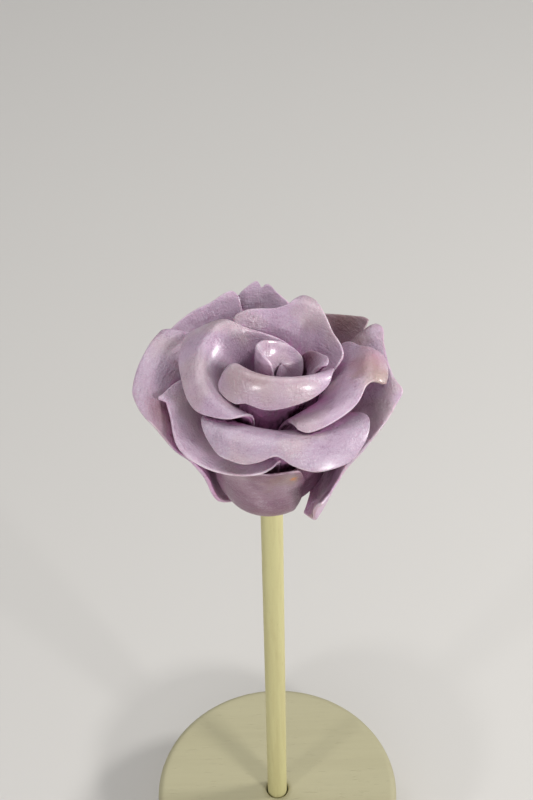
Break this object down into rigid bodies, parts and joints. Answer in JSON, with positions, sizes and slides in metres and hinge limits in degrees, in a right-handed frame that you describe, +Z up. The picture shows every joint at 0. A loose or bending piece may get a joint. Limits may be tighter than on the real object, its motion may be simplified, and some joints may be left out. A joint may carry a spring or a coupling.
{
  "type": "rose lollipop",
  "caption": "Rose modelled in mauve sugar paste on a thin stick, standing upright in a round wooden holder disc.",
  "frame": {"origin": "middle of the holder disc's flat underside", "axes": "+Z up along the stick, -Y towards the viewer of the picture, +X to the viewer's right"},
  "size_m": [0.0506, 0.0506, 0.1518],
  "materials": {
    "petal_paste": "mauve sugar paste with a satin sheen, paler at its thin edges",
    "heart_paste": "the same paste, unpolished",
    "stick_wood": "smooth pale wood",
    "holder_wood": "smooth pale wood"
  },
  "bodies": {
    "root": {"holder": "holder_wood", "stick": "stick_wood", "heart": "heart_paste", "bud": "petal_paste", "inner_right": "petal_paste", "inner_front": "petal_paste", "middle_left": "petal_paste", "middle_back": "petal_paste", "middle_right": "petal_paste", "front": "petal_paste", "front_left": "petal_paste", "left": "petal_paste", "back_left": "petal_paste", "back": "petal_paste", "back_right": "petal_paste", "right": "petal_paste", "under_front": "petal_paste", "under_right": "petal_paste"}
  },
  "joints": []
}
